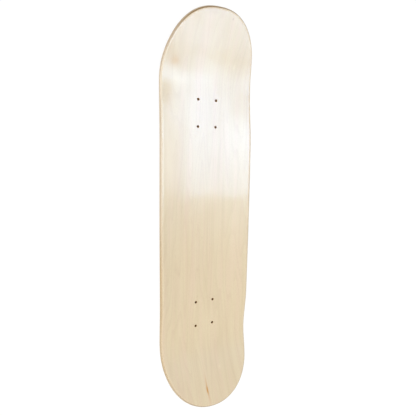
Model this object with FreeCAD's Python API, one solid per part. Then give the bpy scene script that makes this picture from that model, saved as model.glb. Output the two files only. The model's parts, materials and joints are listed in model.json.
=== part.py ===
"""A blank skateboard deck: seven maple veneers glued face to face, pressed to shape, cut out, rolled and drilled.

The deck lies as it is ridden. +X runs towards the nose, +Y to the rider's left and +Z up, and the origin is on the
underside, below the middle of the wheelbase. Lengths are in millimetres. The shape follows the top face: a place on
it is a run, the length along its centre line from the middle of the deck, and a side, the distance across it.
"""

import FreeCAD
import Part
import math
import os

from BOPTools import SplitAPI

# The lay-up: seven veneers with a film of glue in each of the six joints.
veneer_thickness = 1.5
glue_thickness = 0.1

# The outline of the top face. Nose and tail are measured along it, from the outer row of holes to the tip.
deck_width = 208.5
side_bow = 0.9
nose_length = 175.0
tail_length = 175.0
nose_rounding = 144.0
tail_rounding = 142.0

# The rolled edge: the radius of its curve, and how far the curve's crest would stand clear of the face.
edge_radius = 5.3
edge_crest = 0.2

# The truck holes: two rectangles of four, a wheelbase apart between their inner rows.
wheelbase = 374.65
hole_row_spacing = 53.975
hole_column_spacing = 41.275
hole_diameter = 5.2

# The kicks. A bend starts this far outside the outer row of holes, and its radius is that of the top face.
nose_bend_start = 30.5
tail_bend_start = 20.0
nose_bend_radius = 117.0
tail_bend_radius = 135.0
nose_kick_angle = 25.0
tail_kick_angle = 25.2

# The concave: a flat middle, and rails that rise either side. It is deepest between the trucks and dies away in a
# stretch that starts inside the outer row of holes and ends outside it.
flat_width = 62.0
rail_lift = 12.0
nose_rail_lift = 4.6
tail_rail_lift = 5.6
nose_fade_inside = 93.0
tail_fade_inside = 66.0
nose_fade_outside = 24.0
tail_fade_outside = 22.0

# The blank that is pressed is larger than the deck by the margin. The drills, and the cut round the edge, run on by
# the overrun.
blank_margin = 9.0
drill_overrun = 6.0

# How closely the pressed faces and the edge are followed, and the small step that slopes are measured over.
station_spacing = 16.0
column_spacing = 16.0
edge_spacing = 12.0
small_step = 0.01

# Powers of the two end curves: how square the rounding is where it leaves the sides, and at the tip.
nose_side_power_share = 2.12
nose_tip_power_share = 2.39
tail_side_power_share = 2.44
tail_tip_power_share = 2.11
edge_radius_limit_share = 0.48
END_POINTS = 22
SIDE_POINTS = 17
EDGE_LENGTHS = 16

# The seam of each hole's wall faces the rail, in degrees from the nose.
SEAM_TURN = 90

VENEERS = [
    "bottom_face_veneer",
    "lower_inner_veneer",
    "lower_crossband",
    "core_veneer",
    "upper_crossband",
    "upper_inner_veneer",
    "top_face_veneer",
]

deck_thickness = len(VENEERS) * veneer_thickness + (len(VENEERS) - 1) * glue_thickness
half_width = deck_width / 2
flat_half_width = flat_width / 2
outer_row = wheelbase / 2 + hole_row_spacing
nose_tip = outer_row + nose_length
tail_tip = -outer_row - tail_length
nose_shoulder = nose_tip - nose_rounding
tail_shoulder = tail_tip + tail_rounding


def smooth_step(value, start, end):
    """0 before start, 1 after end, and a smooth S between them."""
    share = min(max((value - start) / (end - start), 0.0), 1.0)
    return share * share * (3 - 2 * share)


def spaced(start, end, spacing):
    """Evenly spaced values from start to end, about a spacing apart."""
    count = max(1, round((end - start) / spacing))
    return [start + (end - start) * i / count for i in range(count + 1)]


def centre_line(run):
    """X, Z and slope angle of the top face's centre line: flat, a bend, and a straight kick at each end."""
    if run < 0:
        bend_start, radius, kick = tail_bend_start, tail_bend_radius, tail_kick_angle
    else:
        bend_start, radius, kick = nose_bend_start, nose_bend_radius, nose_kick_angle
    bend_from = outer_row + bend_start
    past = max(abs(run) - bend_from, 0.0)
    angle = min(past / radius, math.radians(kick))
    straight = past - radius * angle
    x = min(abs(run), bend_from) + radius * math.sin(angle) + straight * math.cos(angle)
    z = deck_thickness + radius * (1 - math.cos(angle)) + straight * math.sin(angle)
    return math.copysign(x, run), z, math.copysign(angle, run)


def rail_rise(run, side):
    """How far the concave lifts the top face at this place."""
    if run < 0:
        inside, outside, end_lift = tail_fade_inside, tail_fade_outside, tail_rail_lift
    else:
        inside, outside, end_lift = nose_fade_inside, nose_fade_outside, nose_rail_lift
    fade = smooth_step(abs(run), outer_row - inside, outer_row + outside)
    lift = rail_lift + (end_lift - rail_lift) * fade
    out = max(abs(side) - flat_half_width, 0.0) / (half_width - flat_half_width)
    return lift * out * out


def top_point(run, side):
    """The point of the top face at this place."""
    x, z, slope = centre_line(run)
    rise = rail_rise(run, side)
    return FreeCAD.Vector(x - rise * math.sin(slope), side, z + rise * math.cos(slope))


def deck_point(run, side, depth):
    """The point this far below the top face, measured square to it."""
    along = top_point(run + small_step, side) - top_point(run - small_step, side)
    across = top_point(run, side + small_step) - top_point(run, side - small_step)
    normal = along.cross(across).normalize()
    return top_point(run, side) - normal * depth


def pressed_face(depth):
    """The pressed surface at this depth, over the whole blank."""
    marks = [
        tail_tip - blank_margin,
        -outer_row - tail_bend_start - tail_bend_radius * math.radians(tail_kick_angle),
        -outer_row - tail_bend_start,
        outer_row + nose_bend_start,
        outer_row + nose_bend_start + nose_bend_radius * math.radians(nose_kick_angle),
        nose_tip + blank_margin,
    ]
    runs = [run for a, b in zip(marks, marks[1:]) for run in spaced(a, b, station_spacing)[:-1]]
    runs.append(marks[-1])
    reach = half_width + blank_margin
    sides = spaced(-reach, reach, column_spacing)
    surface = Part.BSplineSurface()
    surface.interpolate([[deck_point(run, side, depth) for side in sides] for run in runs])
    return surface.toShape()


def pressed_sheet(upper, lower):
    """The solid between two pressed faces, as long and wide as the blank."""
    walls = [Part.makeRuledSurface(a, b) for a, b in zip(upper.Edges, lower.Edges)]
    shell = Part.makeShell([upper, lower] + walls)
    shell.sewShape()
    solid = Part.makeSolid(shell)
    if solid.Volume < 0:
        solid.reverse()
    return solid


def end_curve(shoulder, tip, side_power, tip_power):
    """Run and side along half of one rounded end, from its shoulder to its tip."""
    width = half_width - side_bow
    points = []
    for i in range(END_POINTS + 1):
        turn = math.pi / 2 * i / END_POINTS
        run = shoulder + (tip - shoulder) * math.sin(turn) ** (2 / side_power)
        side = width * max(math.cos(turn), 0.0) ** (2 / tip_power)
        points.append((run, side))
    points[-1] = (tip, 0.0)
    return points


def side_curve():
    """Run and side along the left side, from the tail's shoulder to the nose's."""
    points = []
    for i in range(1, SIDE_POINTS):
        run = tail_shoulder + (nose_shoulder - tail_shoulder) * i / SIDE_POINTS
        reach = nose_shoulder if run > 0 else -tail_shoulder
        bow = side_bow * (1 - math.cos(math.pi * run / reach)) / 2
        points.append((run, half_width - bow))
    return points


def outline():
    """The closed curve of the deck's outline, once round from the tail's tip, with its run in X and side in Y."""
    tail = end_curve(tail_shoulder, tail_tip, tail_side_power_share, tail_tip_power_share)
    nose = end_curve(nose_shoulder, nose_tip, nose_side_power_share, nose_tip_power_share)
    left = tail[::-1] + side_curve() + nose
    right = [(run, -side) for run, side in left[1:-1]]
    curve = Part.BSplineCurve()
    curve.interpolate(Points=[FreeCAD.Vector(run, side, 0) for run, side in left + right[::-1]], PeriodicFlag=True)
    return curve


def edge_places():
    """Run and side of evenly spaced places round the outline, each with its direction into the deck."""
    curve = outline()
    whole = curve.length()
    count = EDGE_LENGTHS * max(1, round(whole / edge_spacing / EDGE_LENGTHS))
    places = []
    for i in range(count):
        at = curve.parameterAtDistance(whole * i / count, curve.FirstParameter)
        point = curve.value(at)
        along = curve.tangent(at)[0]
        places.append((point.x, point.y, along.y, -along.x))
    return places


def edge_band(places, rows, weights):
    """Faces of one band of the edge, right round the deck. Its rows of control points are insets and depths."""
    curves = []
    for inset, depth in rows:
        points = [deck_point(run + inset * into_run, side + inset * into_side, depth)
                  for run, side, into_run, into_side in places]
        curve = Part.BSplineCurve()
        curve.interpolate(Points=points, PeriodicFlag=True, Parameters=list(range(len(points) + 1)))
        curves.append(curve)
    poles = [list(column) for column in zip(*[curve.getPoles() for curve in curves])]
    along = curves[0]
    degree = len(rows) - 1
    band = Part.BSplineSurface()
    band.buildFromPolesMultsKnots(
        poles,
        along.getMultiplicities(),
        [degree + 1, degree + 1],
        along.getKnots(),
        [0, 1],
        True,
        False,
        along.Degree,
        degree,
        [weights] * len(poles),
    )
    length = len(places) / EDGE_LENGTHS
    faces = []
    for i in range(EDGE_LENGTHS):
        face = band.copy()
        face.segment(i * length, (i + 1) * length, 0, 1)
        faces.append(face.toShape())
    return faces


def edge_bands():
    """The surface that the deck is cut out along, in five bands, each with the depths where it starts and ends.

    The middle three roll the top edge over, stand as the side and roll the bottom edge over. The outer two run on out
    of the blank, so that the cut goes right through it however far a pressed face strays.
    """
    radius = min(edge_radius, edge_radius_limit_share * deck_thickness)
    crest = -edge_crest
    upper = radius - edge_crest
    lower = deck_thickness - upper
    foot = deck_thickness + edge_crest
    above = crest - drill_overrun
    below = foot + drill_overrun
    arc_weights = [1, math.sqrt(0.5), 1]
    places = edge_places()
    return [
        (above, crest, edge_band(places, [(radius, above), (radius, crest)], [1, 1])),
        (crest, upper, edge_band(places, [(radius, crest), (0, crest), (0, upper)], arc_weights)),
        (upper, lower, edge_band(places, [(0, upper), (0, lower)], [1, 1])),
        (lower, foot, edge_band(places, [(0, lower), (0, foot), (radius, foot)], arc_weights)),
        (foot, below, edge_band(places, [(radius, foot), (radius, below)], [1, 1])),
    ]


def edge_cut(bands, upper, lower):
    """One shell of the bands that a layer between these two depths meets, or would if it strayed by the crest."""
    stray = edge_crest + small_step
    faces = [face for start, end, band in bands
             if start < lower + stray and end > upper - stray for face in band]
    shell = Part.makeShell(faces)
    shell.sewShape()
    return shell


def truck_drills():
    """The eight drills for the truck bolts, upright through the flat of the deck."""
    drills = []
    reach = deck_thickness + 2 * drill_overrun
    for x in (outer_row, wheelbase / 2, -wheelbase / 2, -outer_row):
        for y in (-hole_column_spacing / 2, hole_column_spacing / 2):
            foot = FreeCAD.Vector(x, y, -drill_overrun)
            drill = Part.makeCylinder(hole_diameter / 2, reach, foot)
            drill.rotate(foot, FreeCAD.Vector(0, 0, 1), SEAM_TURN)
            drills.append(drill)
    return drills


def layers():
    """Name, upper depth and lower depth of every layer from the bottom up: a veneer, a film of glue and so on."""
    stack = []
    lower = deck_thickness
    for number, veneer in enumerate(VENEERS, start=1):
        upper = lower - veneer_thickness
        stack.append((veneer, upper, lower))
        lower = upper - glue_thickness
        stack.append((f"glue_line_{number}", lower, upper))
    return stack[:-1]


def cut_layer(upper, lower, bands, drills):
    """One layer between these two depths, pressed, cut out, rolled and drilled."""
    sheet = pressed_sheet(pressed_face(upper), pressed_face(lower))
    middle = deck_point(0, 0, (upper + lower) / 2)
    inside = [piece for piece in SplitAPI.slice(sheet, [edge_cut(bands, upper, lower)], "Split").Solids
              if piece.isInside(middle, small_step, False)]
    return inside[0].cut(drills).Solids[0]


def main():
    os.makedirs("parts", exist_ok=True)
    bands = edge_bands()
    drills = truck_drills()
    for name, upper, lower in layers():
        layer = cut_layer(upper, lower, bands, drills)
        layer.exportStep(f"parts/{name}.step")
        print(name, "volume", round(layer.Volume), "valid", layer.isValid())


if __name__ == "__main__":
    main()
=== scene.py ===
"""Finishes a blank seven-ply maple skateboard deck and sets up its photograph. Lengths are in metres.

Each ply and each film of glue is a piece of the construction model. They keep their shape and place, and get
their wood, lacquer and glue here. The deck lies on a white floor under plain studio light.
"""

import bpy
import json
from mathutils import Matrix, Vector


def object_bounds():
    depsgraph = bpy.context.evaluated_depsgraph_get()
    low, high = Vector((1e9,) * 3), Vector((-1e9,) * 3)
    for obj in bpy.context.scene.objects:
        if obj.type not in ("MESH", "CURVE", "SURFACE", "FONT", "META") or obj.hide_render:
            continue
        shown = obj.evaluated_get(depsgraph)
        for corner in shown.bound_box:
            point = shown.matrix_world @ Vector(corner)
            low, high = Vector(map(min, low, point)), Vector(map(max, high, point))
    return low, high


bl_info = {
    "name": "Maple Deck Finisher",
    "version": (1, 0, 0),
    "blender": (4, 5, 0),
    "location": "3D View > Sidebar > Deck",
    "description": "Gives the plies and glue lines of a maple deck their finish, and sets the studio",
    "category": "Material",
}

import json
import math

import bpy
from bpy.props import FloatProperty, FloatVectorProperty, PointerProperty
from mathutils import Matrix, Vector

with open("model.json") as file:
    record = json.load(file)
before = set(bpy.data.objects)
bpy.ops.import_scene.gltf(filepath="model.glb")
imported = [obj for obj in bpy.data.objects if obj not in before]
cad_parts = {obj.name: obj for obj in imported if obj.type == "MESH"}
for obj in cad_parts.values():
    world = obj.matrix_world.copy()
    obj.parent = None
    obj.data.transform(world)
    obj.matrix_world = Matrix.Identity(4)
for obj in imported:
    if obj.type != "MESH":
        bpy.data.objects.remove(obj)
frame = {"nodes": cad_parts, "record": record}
cad_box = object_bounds()

FACE_VENEERS = ["top_face_veneer", "bottom_face_veneer"]
INNER_VENEERS = ["lower_inner_veneer", "core_veneer", "upper_inner_veneer"]
CROSSBANDS = ["lower_crossband", "upper_crossband"]
GLUE_LINES = sorted(name for name in frame["nodes"] if name.startswith("glue_line"))

mounts = {mount["name"]: mount for mount in frame["record"]["mounts"]}
truck_holes = mounts["nose_truck_holes"]
HOLES_MIDDLE = truck_holes["pos_m"][0]
HOLE_ROW_REACH = truck_holes["dims"]["spacing_x_mm"] / 2000
HOLE_COLUMN_REACH = truck_holes["dims"]["spacing_y_mm"] / 2000
HOLE_RADIUS = truck_holes["dims"]["hole_r_mm"] / 1000

# Where the bends into nose and tail start and end, and the rise of the kicks beyond them.
NOSE_BEND = (0.2718, 0.3212)
TAIL_BEND = (-0.2613, -0.3188)
KICK_RISE = math.sin(math.radians(25))

# Where the finish changes from the tail half to the nose half, and from the right side to the left, where
# the rim of the nose gets its painted shade.
NOSE_HALF = (-0.1, 0.1)
LEFT_SIDE = (-0.05, 0.03)

# The noise that each kind of piece starts from, and the step to the next piece of its kind.
FACE_SEED = 2.0
LONG_GRAIN_SEED = 20.0
CROSSBAND_SEED = 40.0
GLUE_SEED = 60.0
SEED_STEP = 5.0

# Added to a face veneer's seed, so that its blush, its rings and their ripples don't follow its streaks.
BLUSH_SHIFT = 5.0
RING_SHIFT = 7.0
RIPPLE_SHIFT = 3.0

# Where noise turns a face veneer from pale to tan and from plain to pinkish, and how pink it gets.
STREAK_TURN = (0.30, 0.70)
BLUSH_TURN = (0.40, 0.70)
BLUSH_SHARE = 0.7

# How many rings a family has, the length and width of their ripples, and how far a ripple moves a ring.
RING_COUNT = 18.0
RIPPLE_SIZE = (0.03, 0.004)
RIPPLE_SHARE = 0.15

# Where in a year's growth its late wood builds up, and where it ends.
LATE_WOOD_RISE = (0.50, 0.93)
LATE_WOOD_END = (0.95, 1.0)

# The length and width of a face veneer's fine fibres, and how much they show.
FIBRE_SIZE = (0.012, 0.0005)
FIBRE_SHARE = 0.14

# The length and width of its pores, the noise that makes one, and how far lacquer and wood sink in it.
PORE_SIZE = (0.0035, 0.00035)
PORE_TURN = (0.66, 0.74)
PORE_COAT_LOSS = 0.3
PORE_SINK = 0.6

# The mineral streak in the tail: its darkest place, and how far its tail end leans to one side.
STREAK_PLACE = (-0.3744, 0.0102)
STREAK_LEAN = 0.100

# Its dark middle and its faint trail: how far forward each lies, its width, length and strength.
STREAK_PARTS = [
    (0.0, 0.0015, 0.0055, 1.10),
    (0.002, 0.0017, 0.0220, 0.56),
]

# Small marks in the top face: the colour, place along and across the deck, length, width and strength.
FACE_MARKS = [
    ("vessel", (0.3910, -0.0310), 0.0036, 0.0030, 0.55),
    ("mineral", (-0.0380, 0.0220), 0.0080, 0.0050, 0.08),
    # Painted shade: a darker patch on the bend, standing in for glare that a dent would miss.
    ("mineral", (0.3090, 0.0755), 0.0220, 0.0230, 0.30),
    ("vessel", (-0.0060, 0.0338), 0.0160, 0.0016, 0.28),
    ("vessel", (-0.0460, 0.0080), 0.0040, 0.0040, 0.16),
    # The light marks are painted highlights.
    ("light", (-0.3380, -0.0290), 0.0080, 0.0070, 0.35),
    ("light", (0.3100, -0.0580), 0.0120, 0.0060, 0.30),
    ("light", (0.3250, -0.0200), 0.0700, 0.0700, 0.18),
    ("light", (0.2740, 0.0640), 0.0240, 0.0340, 0.32),
    ("light", (0.1250, 0.0870), 0.1700, 0.0360, 0.50),
    ("light", (-0.0200, -0.0550), 0.1300, 0.0900, 0.18),
    ("light", (-0.2400, -0.0120), 0.0800, 0.0500, 0.14),
    ("light", (0.0450, -0.0120), 0.0500, 0.0500, 0.22),
    ("mineral", (-0.0500, 0.0430), 0.2000, 0.0300, 0.06),
    ("mineral", (-0.0700, -0.0450), 0.1000, 0.0600, 0.03),
    ("mineral", (-0.0900, 0.0700), 0.1200, 0.0400, 0.03),
    # These three wide ring-coloured patches darken the tail end.
    ("ring", (-0.3650, 0.0600), 0.0700, 0.0700, 0.10),
    ("ring", (-0.3600, -0.0400), 0.0900, 0.0900, 0.10),
    ("ring", (-0.3350, 0.0850), 0.0600, 0.0300, 0.12),
    # Painted shade just inside the rim of the nose.
    ("ring", (0.4000, 0.0160), 0.0140, 0.0500, 0.45),
    # Painted shade: a darker patch where the rail meets the kick, standing in for glare that a dent would
    # miss.
    ("ring", (0.2480, 0.0980), 0.0400, 0.0120, 0.25),
    ("ring", (-0.1150, 0.0180), 0.0060, 0.0100, 0.22),
    ("ring", (-0.1300, 0.0228), 0.0240, 0.0024, 0.22),
    ("ring", (-0.1150, 0.0290), 0.1300, 0.0024, 0.14),
    ("ring", (-0.0580, -0.0050), 0.0780, 0.0024, 0.14),
]

# Patches where the lacquer is thin: the place of each, its length, width and how much is missing.
THIN_LACQUER = [
    ((0.2480, 0.0940), 0.0480, 0.0240, 0.75),
    ((0.3090, 0.0750), 0.0160, 0.0180, 0.90),
    ((0.3250, 0.0830), 0.0640, 0.0500, 0.40),
    ((0.3030, 0.0450), 0.0240, 0.1000, 0.36),
    ((0.2930, 0.0650), 0.0200, 0.0600, 0.16),
    ((0.1300, 0.1018), 0.2400, 0.0044, 0.70),
    ((0.2380, 0.0760), 0.0700, 0.0500, 0.30),
    ((0.2450, -0.0760), 0.0700, 0.0560, 0.30),
    ((0.0900, 0.0480), 0.3500, 0.0400, 0.22),
    ((0.2180, 0.0720), 0.0500, 0.0200, 0.12),
    ((0.3030, -0.0680), 0.0480, 0.0960, 0.54),
    ((0.2180, -0.0840), 0.0700, 0.0640, 0.26),
    ((0.3300, -0.0640), 0.0800, 0.0700, 0.16),
    ((0.3830, 0.0100), 0.0600, 0.1600, 0.36),
    ((0.3150, 0.0950), 0.0400, 0.0200, 0.50),
    ((0.3400, 0.0550), 0.0600, 0.0200, 0.20),
    ((0.3620, 0.0780), 0.0300, 0.0200, 0.40),
    ((0.3850, 0.0500), 0.0200, 0.0300, 0.40),
    ((0.2650, 0.0900), 0.0300, 0.0300, 0.35),
    ((0.2850, -0.0400), 0.0200, 0.1000, 0.12),
    ((0.2460, 0.0880), 0.0400, 0.0220, 0.30),
    ((0.3000, 0.0380), 0.0450, 0.0500, 0.18),
    ((0.4010, 0.0180), 0.0120, 0.0440, 0.12),
    ((0.1850, 0.0520), 0.0900, 0.0280, 0.16),
    ((0.0240, -0.0600), 0.0340, 0.0800, 0.36),
    ((0.0880, -0.0800), 0.0900, 0.0400, 0.10),
    ((0.3430, -0.0620), 0.0450, 0.0600, 0.10),
]

# Lacquer as a coat: how much on the faces, on the cut edges and on glue, and how satin it is.
FACE_COAT = 0.9
EDGE_COAT = 0.2
GLUE_COAT = 0.5
COAT_ROUGHNESS = 0.16

# The roughness under the lacquer, from where a surface is smoothest to where it is roughest.
FACE_ROUGHNESS = (0.46, 0.58)
EDGE_ROUGHNESS = (0.50, 0.65)
GLUE_ROUGHNESS = (0.55, 0.65)

# How high the fibres of a face, the fibres of a cut edge and the beads of glue stand.
FACE_RELIEF = 0.00002
EDGE_RELIEF = 0.00003
GLUE_RELIEF = 0.00002

# How far a rim turns over before a face veneer gets its painted highlight, thins its lacquer and shows worn
# end grain darkened with painted shade.
RIM_HIGHLIGHT_TURN = (0.03, 0.14)
THIN_TURN = (0.05, 0.15)
WORN_AND_SHADE_TURN = (0.09, 0.22)

# How strong the painted highlight of a rim is, and the share of its lacquer that is left.
RIM_HIGHLIGHT_SHARE = 0.5
THIN_SHARE = 0.5

# How much of the worn end grain and its painted shade shows on the right and on the left of each end; the
# left of the nose is darkest.
END_GRAIN_AND_SHADE_AT_TAIL = (0.28, 0.42)
END_GRAIN_AND_SHADE_AT_NOSE = (0.10, 0.96)

# How end grain shows: a low power raises the small shares of a cut, and it darkens between these shares.
CUT_POWER = 0.4
CUT_TURN = (0.08, 0.85)

# Added to a turn, so that its shares stay small where a surface hardly turns.
LEAST_TURN = 0.001

# How much of an inner ply's end grain shows in the tail half and in the nose half.
END_GRAIN_SHARES = (0.6, 1.0)

# The fibres along an inner ply's edge: the noise that makes one, and how much it shows.
SIDE_FIBRE_TURN = (0.45, 0.75)
SIDE_FIBRE_SHARE = 0.3

# The fibres in its end grain: the noise that makes one, and its tone.
END_FIBRE_TURN = (0.35, 0.70)
END_FIBRE_TONE = 0.7

# The darker stretches of an inner ply: how much they show, and their tone.
STRETCH_SHARE = 0.5
STRETCH_TONE = 0.86

# The darker beads of a glue line: the noise that makes one, and their tone.
BEAD_TURN = (0.35, 0.65)
BEAD_TONE = 0.6

# Where the long edges get painted shade in brown: the middle of each stretch, its reach and its strength.
SHADED_EDGE_STRETCHES = [
    (-0.15, 0.19, 1.0),
    (-0.32, 0.05, 0.4),
]

# How far an edge turns over while its painted shade grows, and how much of it shows before and after.
EDGE_SHADE_TURN = (0.1, 0.8)
EDGE_SHADE_SHARES = (0.65, 1.0)

# The scorched wood round a truck hole ends between these shares of its radius.
SCORCH = (1.02, 1.22)

# How far the floor reaches to each side, and how white its glow is.
FLOOR_REACH = 4.0
FLOOR_WHITE = 1.05

# Where across the softbox its dim side turns to full brightness.
SOFTBOX_TURN = (0.30, 0.42)


def colour_setting(name, description, default):
    """A colour that the user can change."""
    return FloatVectorProperty(
        name=name, description=description, default=default, size=3, min=0, max=1, subtype="COLOR")


def length_setting(name, description, default):
    """A length that the user can change."""
    return FloatProperty(name=name, description=description, default=default, min=0, unit="LENGTH")


def share_setting(name, description, default):
    """A share between 0 and 1 that the user can change."""
    return FloatProperty(
        name=name, description=description, default=default, min=0, max=1, subtype="FACTOR")


def level_setting(name, description, default):
    """A brightness that the user can change."""
    return FloatProperty(name=name, description=description, default=default, min=0)


def place_setting(name, description, default):
    """A place in the deck's frame that the user can change."""
    return FloatVectorProperty(
        name=name, description=description, default=default, size=3, unit="LENGTH")


class FaceVeneerSettings(bpy.types.PropertyGroup):
    """The wood of the two face veneers."""

    pale: colour_setting("Pale Wood", "Sapwood in the lighter streaks", (0.736, 0.618, 0.404))
    tan: colour_setting("Tan Wood", "Sapwood in the darker streaks", (0.696, 0.575, 0.368))
    pink: colour_setting("Pink Wood", "Sapwood in the pinkish streaks", (0.741, 0.585, 0.407))
    ring: colour_setting("Ring Line", "Late wood that ends each growth ring", (0.560, 0.420, 0.260))
    vessel: colour_setting("Vessels", "The fine pores that run with the grain", (0.450, 0.300, 0.170))
    mineral: colour_setting("Mineral Stain", "The orange-brown stain and flecks", (0.540, 0.255, 0.035))
    # Light Fleck is a painted highlight, lightening patches of the top face as if they caught the light.
    light: colour_setting("Light Fleck", "Where a ray of the wood catches the light", (0.850, 0.740, 0.500))
    # Worn End is partly end grain and partly painted shade, greyed as if in shadow.
    worn_end_and_shade: colour_setting("Worn End", "Greyed end grain at the rim of nose and tail", (0.260, 0.165, 0.110))
    streak_length: length_setting("Streak Length", "How far a streak runs along the deck", 0.22)
    streak_width: length_setting("Streak Width", "How wide a streak is across the deck", 0.013)
    ring_length: length_setting("Ring Length", "How far a ring runs before it turns", 0.60)
    ring_width: length_setting("Ring Width", "How wide a family of rings is across the deck", 0.065)
    ring_strength: share_setting("Ring Strength", "How much the ring lines show", 0.17)
    vessel_strength: share_setting("Vessel Strength", "How much the pores show", 0.35)


class PlySettings(bpy.types.PropertyGroup):
    """The wood of the inner plies, which shows only round the edge of the deck."""

    # Long Grain is paler than the face wood: partly the ply's edge, partly a painted highlight on the
    # rounded rim.
    side: colour_setting("Long Grain", "A ply's edge along its grain", (0.950, 0.850, 0.690))
    # Browned Edge is painted shade, laid on the long edges where they turn over and down.
    brown: colour_setting("Browned Edge", "Where the sander browned the long sides", (0.545, 0.380, 0.160))
    cross: colour_setting("Crossband End Grain", "A crossband's edge along the sides", (0.650, 0.490, 0.310))
    end: colour_setting("End Grain", "A ply's edge at nose and tail", (0.265, 0.150, 0.038))
    hole: colour_setting("Hole Wall", "Scorched wood in the drilled holes", (0.330, 0.165, 0.045))
    fibre_length: length_setting("Fibre Length", "How long the streaks along the grain are", 0.03)
    fibre_width: length_setting("Fibre Width", "How wide the streaks along the grain are", 0.0006)
    tone_length: length_setting("Tone Length", "How far a darker stretch of a ply runs", 0.09)


class GlueSettings(bpy.types.PropertyGroup):
    """The cured glue between the plies."""

    glue: colour_setting("Glue", "Cured glue where the edge was sanded through it", (0.270, 0.160, 0.070))
    bead_length: length_setting("Bead Length", "How long the darker stretches of a glue line are", 0.012)


class StudioSettings(bpy.types.PropertyGroup):
    """The camera, the lamps and the floor."""

    camera_place: place_setting("Camera Place", "Where the camera stands", (0.1435, 0.40376, 0.75786))
    camera_aim: place_setting("Camera Aim", "What the camera looks at", (0.01802, -0.00564, 0.0111))
    camera_roll: FloatProperty(
        name="Camera Roll", description="Turn of the picture about its middle", default=math.radians(0.89),
        subtype="ANGLE")
    camera_lens: FloatProperty(
        name="Camera Lens", description="Focal length on a 36 mm wide sensor", default=35.012, min=1,
        unit="CAMERA")
    softbox_place: place_setting(
        "Softbox Place", "The middle of the lamp that glares on the deck", (0.171, -0.20, 0.5))
    softbox_length: length_setting("Softbox Length", "Its size along the deck", 0.382)
    softbox_width: length_setting("Softbox Width", "Its size across the deck", 1.00)
    softbox_level: level_setting("Softbox Level", "How many times brighter than white it looks", 10.8)
    softbox_dim_end: share_setting("Softbox Dim End", "How bright it is at its tail end", 0.56)
    softbox_dim_side: share_setting(
        "Softbox Dim Side", "How bright it is on the side away from the camera", 0.33)
    softbox_colour: colour_setting("Softbox Colour", "Its cool daylight", (0.395, 0.62, 1.0))
    overhead_place: place_setting("Overhead Place", "The middle of the broad lamp", (-0.65, 1.3, 2.2))
    overhead_size: length_setting("Overhead Size", "The side of the broad square lamp", 1.6)
    overhead_level: level_setting("Overhead Level", "How many times brighter than white it looks", 3.1)
    overhead_colour: colour_setting("Overhead Colour", "Its warm white", (1.0, 0.98, 0.95))
    sky_level: level_setting(
        "Sky Level", "Light from all round, where 1 shows a colour as it is", 0.78)
    floor_colour: colour_setting("Floor Colour", "White paper under the deck", (0.9, 0.9, 0.9))
    floor_glow: share_setting("Floor Glow", "How far the camera sees the floor as plain white", 0.86)


class Wire:
    """One output socket of a node tree. Arithmetic on wires and numbers adds Math nodes."""

    def __init__(self, tree, socket):
        self.tree = tree
        self.socket = socket

    def math(self, operation, *values):
        return self.tree.node("ShaderNodeMath", {"operation": operation}, values)

    def __add__(self, other):
        return self.math("ADD", self, other)

    __radd__ = __add__

    def __sub__(self, other):
        return self.math("SUBTRACT", self, other)

    def __rsub__(self, other):
        return self.math("SUBTRACT", other, self)

    def __mul__(self, other):
        return self.math("MULTIPLY", self, other)

    __rmul__ = __mul__

    def __truediv__(self, other):
        return self.math("DIVIDE", self, other)

    def __pow__(self, other):
        return self.math("POWER", self, other)

    def __abs__(self):
        return self.math("ABSOLUTE", self)

    def fraction(self):
        """What is left of it over a whole number."""
        return self.math("FRACT", self)

    def least(self, other):
        """The smaller of it and another."""
        return self.math("MINIMUM", self, other)

    def between(self, first, second):
        """The first value where it is 0, the second where it is 1, and evenly between them."""
        return first + self * (second - first)

    def bell(self, width):
        """1 where it is zero, falling away smoothly on both sides over about this width."""
        share = self / width
        return self.math("EXPONENT", share * share * -1)

    def ramp(self, start, end):
        """0 before start, 1 after end, and a straight rise between them."""
        ends = {"Value": self, "From Min": start, "From Max": end}
        return self.tree.node("ShaderNodeMapRange", None, ends)

    def smooth(self, start, end):
        """0 before start, 1 after end, and a smooth S between them."""
        ends = {"Value": self, "From Min": start, "From Max": end}
        return self.tree.node("ShaderNodeMapRange", {"interpolation_type": "SMOOTHSTEP"}, ends)


def socket_of(sockets, name):
    """The socket with this number or identifier."""
    return [socket for number, socket in enumerate(sockets) if name in (number, socket.identifier)][0]


class Tree:
    """The nodes of a material, a lamp or the world."""

    def __init__(self, owner):
        owner.use_nodes = True
        self.nodes = owner.node_tree.nodes
        self.links = owner.node_tree.links
        self.nodes.clear()

    def node(self, kind, settings=None, sockets=None, output=0):
        """Adds a node: first its settings, then its sockets' values or wires, in order or by name."""
        made = self.nodes.new(kind)
        for name, value in (settings or {}).items():
            setattr(made, name, value)
        named = sockets if isinstance(sockets, dict) else dict(enumerate(sockets or ()))
        for name, value in named.items():
            socket = socket_of(made.inputs, name)
            if isinstance(value, Wire):
                self.links.new(value.socket, socket)
            else:
                socket.default_value = value
        return Wire(self, socket_of(made.outputs, output)) if made.outputs else None

    def coordinates(self, vector):
        """The three parts of a vector."""
        first = self.node("ShaderNodeSeparateXYZ", None, [vector])
        return [Wire(self, output) for output in first.socket.node.outputs]

    def place(self):
        """The place on the piece, in the deck's frame."""
        return self.coordinates(self.node("ShaderNodeTexCoord", None, None, "Object"))

    def noise(self, x, y, z=0.0, detail=2.0):
        """Smooth noise from 0 to 1 at this place, with finer noise on it where detail is higher."""
        place = self.node("ShaderNodeCombineXYZ", None, [x, y, z])
        return self.node("ShaderNodeTexNoise", None, {"Vector": place, "Scale": 1.0, "Detail": detail})

    def blend(self, share, first, second):
        """The first colour where the share is 0, and the second where it is 1."""
        colours = {"Factor_Float": share, "A_Color": opaque(first), "B_Color": opaque(second)}
        return self.node("ShaderNodeMix", {"data_type": "RGBA"}, colours, "Result_Color")


def opaque(colour):
    """A colour with its fourth number, or a wire as it is."""
    return colour if isinstance(colour, Wire) else (*colour, 1.0)


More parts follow.
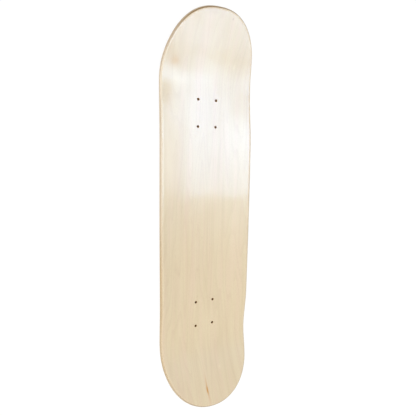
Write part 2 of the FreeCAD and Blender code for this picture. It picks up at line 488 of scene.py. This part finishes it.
def darker(colour, share):
    """A colour brought down to this share of its brightness."""
    return tuple(share * part for part in colour)


def new_material(name):
    """A new material and its nodes."""
    material = bpy.data.materials.new(name)
    return material, Tree(material)


def lacquered(tree, colour, roughness, height, depth, coat):
    """Joins a colour, a roughness and a bump height to a surface under clear satin lacquer."""
    bump = tree.node("ShaderNodeBump", None, {"Strength": 1.0, "Distance": depth, "Height": height})
    surface = tree.node("ShaderNodeBsdfPrincipled", None, {
        "Base Color": colour,
        "Roughness": roughness,
        "Normal": bump,
        "Coat Weight": coat,
        "Coat Roughness": COAT_ROUGHNESS,
    })
    tree.node("ShaderNodeOutputMaterial", None, {"Surface": surface})


def cuts(tree, x):
    """How far a surface turns from the bent faces, and how much it cuts grain along and across the deck."""
    out_x, out_y, out_z = tree.coordinates(tree.node("ShaderNodeNewGeometry", None, None, "Normal"))
    rise = (x.ramp(*NOSE_BEND) - x.ramp(*TAIL_BEND)) * KICK_RISE
    level = (1 - rise * rise) ** 0.5
    turn = 1 - abs(out_z * level - out_x * rise)
    lengthwise = (out_x * level + out_z * rise) ** 2.0
    crosswise = out_y ** 2.0
    both = lengthwise + crosswise + LEAST_TURN
    along, across = [((part / both) ** CUT_POWER).ramp(*CUT_TURN) for part in (lengthwise, crosswise)]
    return turn, along, across


def near_holes(x, y):
    """1 on the walls of the truck holes and 0 a little outside them."""
    along = abs(abs(abs(x) - HOLES_MIDDLE) - HOLE_ROW_REACH)
    across = abs(abs(y) - HOLE_COLUMN_REACH)
    distance = (along * along + across * across) ** 0.5
    return 1 - distance.smooth(*(HOLE_RADIUS * share for share in SCORCH))


def mark(x, y, place, length, width):
    """1 in the middle of a small mark that runs with the grain, falling away smoothly."""
    return (x - place[0]).bell(length / 2) * (y - place[1]).bell(width / 2)


def mineral_streak(x, y):
    """A slender stain: darkest in the middle, with a faint trail that bends at its tail end."""
    from_dark = x - STREAK_PLACE[0]
    off = y - (from_dark.least(0.0) * STREAK_LEAN + STREAK_PLACE[1])
    parts = [
        off.bell(width) * (from_dark - forward).bell(length) * strength
        for forward, width, length, strength in STREAK_PARTS
    ]
    return sum(parts).least(1.0)


def growth_rings(tree, settings, x, y, seed):
    """The late wood of the growth rings, which builds up slowly and ends sharply."""
    wander = tree.noise(x / settings.ring_length, y / settings.ring_width, seed + RING_SHIFT)
    ripple = tree.noise(x / RIPPLE_SIZE[0], y / RIPPLE_SIZE[1], seed + RIPPLE_SHIFT)
    phase = (wander * RING_COUNT + ripple * RIPPLE_SHARE).fraction()
    return phase.smooth(*LATE_WOOD_RISE) * (1 - phase.smooth(*LATE_WOOD_END))


def face_grain(tree, settings, place, seed):
    """The sawn wood of a face veneer, its fibres and its pores."""
    x, y, z = place
    length, width = settings.streak_length, settings.streak_width
    streaks = tree.noise(x / length, y / width, seed, detail=3.0).smooth(*STREAK_TURN)
    blush = tree.noise(x / length, y / width, seed + BLUSH_SHIFT).smooth(*BLUSH_TURN)
    ring = growth_rings(tree, settings, x, y, seed)
    fibre = tree.noise(x / FIBRE_SIZE[0], y / FIBRE_SIZE[1], z / FIBRE_SIZE[1])
    specks = tree.noise(x / PORE_SIZE[0], y / PORE_SIZE[1], z / FIBRE_SIZE[1] + seed, detail=0.0)
    pores = specks.smooth(*PORE_TURN)
    wood = tree.blend(streaks, settings.pale, settings.tan)
    wood = tree.blend(blush * BLUSH_SHARE, wood, settings.pink)
    wood = tree.blend(ring * settings.ring_strength, wood, settings.ring)
    wood = tree.blend(fibre * FIBRE_SHARE, wood, settings.ring)
    return tree.blend(pores * settings.vessel_strength, wood, settings.vessel), fibre, pores


def top_face_marks(tree, settings, x, y, wood, coat):
    """The stain and the small marks of the riding face, among them painted highlights and patches of painted
    shade, and where its lacquer is thin.
    """
    wood = tree.blend(mineral_streak(x, y), wood, settings.mineral)
    for kind, place, length, width, strength in FACE_MARKS:
        share = mark(x, y, place, length, width) * strength
        wood = tree.blend(share, wood, getattr(settings, kind))
    for place, length, width, strength in THIN_LACQUER:
        coat = coat * (1 - mark(x, y, place, length, width) * strength)
    return wood, coat


def rolled_rim(tree, settings, plies, x, y, wood, coat):
    """The rim of a face veneer: a painted highlight where it rounds over in the nose half, and worn end
    grain with painted shade where it cuts across the fibres.
    """
    turn, end_grain, _ = cuts(tree, x)
    nose_half = x.smooth(*NOSE_HALF)
    left = y.smooth(*LEFT_SIDE)
    # A painted highlight: in the nose half the rim pales towards the pale long-grain colour, as if it caught
    # the light.
    wood = tree.blend(turn.smooth(*RIM_HIGHLIGHT_TURN) * nose_half * RIM_HIGHLIGHT_SHARE, wood, plies.side)
    # Painted shade: the worn rim is darkest on the left of the nose, and its grey colour stands in for
    # shade.
    shown = nose_half.between(left.between(*END_GRAIN_AND_SHADE_AT_TAIL), left.between(*END_GRAIN_AND_SHADE_AT_NOSE))
    worn_end_and_shade = tree.blend(left * nose_half, settings.worn_end_and_shade, plies.end)
    wood = tree.blend(turn.smooth(*WORN_AND_SHADE_TURN) * end_grain * shown, wood, worn_end_and_shade)
    return wood, coat * turn.smooth(*THIN_TURN).between(1.0, THIN_SHARE)


def maple_face(settings, plies, name, seed):
    """A face veneer: streaks, growth rings and pores along the deck, and a rim where the edge cuts it."""
    material, tree = new_material(name)
    x, y, z = tree.place()
    wood, fibre, pores = face_grain(tree, settings, (x, y, z), seed)
    coat = FACE_COAT - pores * PORE_COAT_LOSS
    if name == "top_face_veneer":
        wood, coat = top_face_marks(tree, settings, x, y, wood, coat)
    wood, coat = rolled_rim(tree, settings, plies, x, y, wood, coat)
    holes = near_holes(x, y)
    wood = tree.blend(holes, wood, plies.hole)
    coat = coat * (1 - holes)
    height = fibre - pores * PORE_SINK
    lacquered(tree, wood, fibre.between(*FACE_ROUGHNESS), height, FACE_RELIEF, coat)
    return material


def ply_edge(settings, name, seed, crossband):
    """An inner ply, whose edge shows fibres along it or end grain across it."""
    material, tree = new_material(name)
    x, y, z = tree.place()
    along, across = (y, x) if crossband else (x, y)
    width = settings.fibre_width
    fibre = tree.noise(along / settings.fibre_length, across / width, z / width + seed, detail=3.0)
    tone = tree.noise(x / settings.tone_length, y / settings.tone_length, seed, detail=1.0)
    turn, cut_along, cut_across = cuts(tree, x)
    # Painted shade: stretches of the long edges darken to brown as the edge turns over.
    stretches = sum((x - middle).bell(reach) * strength for middle, reach, strength in SHADED_EDGE_STRETCHES)
    painted_edge_shade = stretches.least(1.0) * turn.ramp(*EDGE_SHADE_TURN).between(*EDGE_SHADE_SHARES)
    side = tree.blend(tone * STRETCH_SHARE, settings.side, darker(settings.side, STRETCH_TONE))
    side = tree.blend(painted_edge_shade, side, settings.brown)
    side = tree.blend(fibre.smooth(*SIDE_FIBRE_TURN) * SIDE_FIBRE_SHARE, side, settings.cross)
    cut = settings.cross if crossband else settings.end
    end = tree.blend(fibre.smooth(*END_FIBRE_TURN), cut, darker(cut, END_FIBRE_TONE))
    end_grain = cut_across if crossband else cut_along
    wood = tree.blend(end_grain * x.smooth(*NOSE_HALF).between(*END_GRAIN_SHARES), side, end)
    holes = near_holes(x, y)
    wood = tree.blend(holes, wood, settings.hole)
    lacquered(tree, wood, fibre.between(*EDGE_ROUGHNESS), fibre, EDGE_RELIEF, (1 - holes) * EDGE_COAT)
    return material


def glue(settings, name, seed):
    """A film of cured glue, darker in some stretches than in others."""
    material, tree = new_material(name)
    x, y, _ = tree.place()
    length = settings.bead_length
    beads = tree.noise(x / length, y / length, seed, detail=3.0).smooth(*BEAD_TURN)
    film = tree.blend(beads, settings.glue, darker(settings.glue, BEAD_TONE))
    lacquered(tree, film, beads.between(*GLUE_ROUGHNESS), beads, GLUE_RELIEF, GLUE_COAT)
    return material


def dress(name, material):
    """Gives a piece of the construction model its finish."""
    frame["nodes"][name].material_slots[0].material = material


class DECK_OT_face_veneers(bpy.types.Operator):
    """Finish the top and bottom face veneers"""

    bl_idname = "deck.face_veneers"
    bl_label = "Finish Face Veneers"

    def execute(self, context):
        scene = context.scene
        for number, name in enumerate(FACE_VENEERS):
            seed = FACE_SEED + SEED_STEP * number
            dress(name, maple_face(scene.deck_faces, scene.deck_plies, name, seed))
        return {"FINISHED"}


class DECK_OT_inner_veneers(bpy.types.Operator):
    """Finish the inner veneers, whose grain runs along the deck"""

    bl_idname = "deck.inner_veneers"
    bl_label = "Finish Inner Veneers"

    def execute(self, context):
        for number, name in enumerate(INNER_VENEERS):
            seed = LONG_GRAIN_SEED + SEED_STEP * number
            dress(name, ply_edge(context.scene.deck_plies, name, seed, crossband=False))
        return {"FINISHED"}


class DECK_OT_crossbands(bpy.types.Operator):
    """Finish the two crossbands, whose grain runs across the deck"""

    bl_idname = "deck.crossbands"
    bl_label = "Finish Crossbands"

    def execute(self, context):
        for number, name in enumerate(CROSSBANDS):
            seed = CROSSBAND_SEED + SEED_STEP * number
            dress(name, ply_edge(context.scene.deck_plies, name, seed, crossband=True))
        return {"FINISHED"}


class DECK_OT_glue_lines(bpy.types.Operator):
    """Finish the six films of glue"""

    bl_idname = "deck.glue_lines"
    bl_label = "Finish Glue Lines"

    def execute(self, context):
        for number, name in enumerate(GLUE_LINES):
            dress(name, glue(context.scene.deck_glue, name, GLUE_SEED + SEED_STEP * number))
        return {"FINISHED"}


def white_to_camera(tree):
    """1 for what the camera sees, straight or in a mirror or glass, and 0 for what lights the deck."""
    paths = tree.node("ShaderNodeLightPath").socket.node.outputs
    kinds = ("Is Camera Ray", "Is Glossy Ray", "Is Transmission Ray")
    return sum(Wire(tree, paths[kind]) for kind in kinds).least(1.0)


def set_world(studio):
    """Even light from all round, and white where the camera sees past the floor."""
    world = bpy.data.worlds.new("studio_surround")
    bpy.context.scene.world = world
    tree = Tree(world)
    sky = tree.node("ShaderNodeBackground", None, {"Color": (1, 1, 1, 1), "Strength": studio.sky_level})
    white = tree.node("ShaderNodeBackground", None, {"Color": (1, 1, 1, 1), "Strength": 1.0})
    seen = tree.node("ShaderNodeMixShader", None, [white_to_camera(tree), sky, white])
    tree.node("ShaderNodeOutputWorld", None, [seen])


def lay_floor(studio):
    """White paper, which the camera sees as plain white but for the deck's soft shadow."""
    height = cad_box[0].z
    corners = [(-1, -1), (1, -1), (1, 1), (-1, 1)]
    points = [(FLOOR_REACH * side_x, FLOOR_REACH * side_y, height) for side_x, side_y in corners]
    mesh = bpy.data.meshes.new("floor")
    mesh.from_pydata(points, [], [(0, 1, 2, 3)])
    floor = bpy.data.objects.new("floor", mesh)
    bpy.context.scene.collection.objects.link(floor)
    material, tree = new_material("white_paper")
    paper = tree.node("ShaderNodeBsdfDiffuse", None, {"Color": opaque(studio.floor_colour)})
    glow = tree.node("ShaderNodeEmission", None, {"Strength": FLOOR_WHITE})
    share = white_to_camera(tree) * studio.floor_glow
    seen = tree.node("ShaderNodeMixShader", None, [share, paper, glow])
    tree.node("ShaderNodeOutputMaterial", None, [seen])
    mesh.materials.append(material)


def area_lamp(name, place, aim, length, width, level, colour):
    """A soft rectangular lamp that looks this many times brighter than white."""
    lamp = bpy.data.lights.new(name, "AREA")
    lamp.shape = "RECTANGLE"
    lamp.size = length
    lamp.size_y = width
    lamp.energy = level * math.pi * length * width
    lamp.color = colour
    stand = bpy.data.objects.new(name, lamp)
    stand.location = place
    stand.rotation_euler = (Vector(aim) - Vector(place)).to_track_quat("-Z", "Y").to_euler()
    stand.visible_camera = False
    bpy.context.scene.collection.objects.link(stand)
    return stand


def fade_lamp(lamp, dim_end, dim_side):
    """Makes a lamp unevenly bright, from these shares at one end and side to full at the other ones."""
    tree = Tree(lamp)
    along, across, _ = tree.coordinates(tree.node("ShaderNodeNewGeometry", None, None, "Parametric"))
    share = along.between(dim_end, 1.0) * across.smooth(*SOFTBOX_TURN).between(dim_side, 1.0)
    light = tree.node("ShaderNodeCombineXYZ", None, [share, share, share])
    glow = tree.node("ShaderNodeEmission", None, {"Color": light, "Strength": 1.0})
    tree.node("ShaderNodeOutputLight", None, [glow])


def set_lamps(studio):
    """The softbox that glares in the lacquer, and a broad lamp overhead."""
    place = Vector(studio.softbox_place)
    below = place - Vector((0, 0, 1))
    softbox = area_lamp(
        "softbox", place, below, studio.softbox_length, studio.softbox_width, studio.softbox_level,
        studio.softbox_colour)
    softbox.visible_diffuse = False
    fade_lamp(softbox.data, studio.softbox_dim_end, studio.softbox_dim_side)
    overhead = area_lamp(
        "overhead", studio.overhead_place, (0, 0, 0), studio.overhead_size, studio.overhead_size,
        studio.overhead_level, studio.overhead_colour)
    overhead.visible_glossy = False


def set_camera(studio):
    """The photograph's view."""
    camera = bpy.data.cameras.new("camera")
    camera.lens = studio.camera_lens
    camera.sensor_width = 36.0
    stand = bpy.data.objects.new("camera", camera)
    place = Vector(studio.camera_place)
    back = (place - Vector(studio.camera_aim)).normalized()
    right = Vector((1, 0, 0)).cross(back).normalized()
    up = back.cross(right)
    level = Matrix((right, up, back)).transposed().to_4x4()
    stand.matrix_world = Matrix.Translation(place) @ level @ Matrix.Rotation(studio.camera_roll, 4, "Z")
    bpy.context.scene.collection.objects.link(stand)
    bpy.context.scene.camera = stand


class DECK_OT_studio(bpy.types.Operator):
    """Set up the floor, the light and the camera"""

    bl_idname = "deck.studio"
    bl_label = "Set Up Studio"

    def execute(self, context):
        studio = context.scene.deck_studio
        set_world(studio)
        lay_floor(studio)
        set_lamps(studio)
        set_camera(studio)
        context.scene.view_settings.view_transform = "Standard"
        return {"FINISHED"}


class DECK_PT_sidebar(bpy.types.Panel):
    """The deck's settings and operators"""

    bl_idname = "DECK_PT_sidebar"
    bl_label = "Maple Deck"
    bl_space_type = "VIEW_3D"
    bl_region_type = "UI"
    bl_category = "Deck"

    def draw(self, context):
        scene = context.scene
        sections = [
            (scene.deck_faces, [DECK_OT_face_veneers]),
            (scene.deck_plies, [DECK_OT_inner_veneers, DECK_OT_crossbands]),
            (scene.deck_glue, [DECK_OT_glue_lines]),
            (scene.deck_studio, [DECK_OT_studio]),
        ]
        for settings, operators in sections:
            box = self.layout.box()
            for name in settings.__annotations__:
                box.prop(settings, name)
            for operator in operators:
                box.operator(operator.bl_idname)


SETTINGS = {
    "deck_faces": FaceVeneerSettings,
    "deck_plies": PlySettings,
    "deck_glue": GlueSettings,
    "deck_studio": StudioSettings,
}
OPERATORS = [
    DECK_OT_face_veneers,
    DECK_OT_inner_veneers,
    DECK_OT_crossbands,
    DECK_OT_glue_lines,
    DECK_OT_studio,
]


def register():
    for name, group in SETTINGS.items():
        bpy.utils.register_class(group)
        setattr(bpy.types.Scene, name, PointerProperty(type=group))
    for shown in OPERATORS + [DECK_PT_sidebar]:
        bpy.utils.register_class(shown)


def unregister():
    for shown in [DECK_PT_sidebar] + OPERATORS[::-1]:
        bpy.utils.unregister_class(shown)
    for name, group in SETTINGS.items():
        delattr(bpy.types.Scene, name)
        bpy.utils.unregister_class(group)


def main():
    register()
    bpy.ops.deck.face_veneers()
    bpy.ops.deck.inner_veneers()
    bpy.ops.deck.crossbands()
    bpy.ops.deck.glue_lines()
    bpy.ops.deck.studio()


if __name__ == "__main__":
    main()
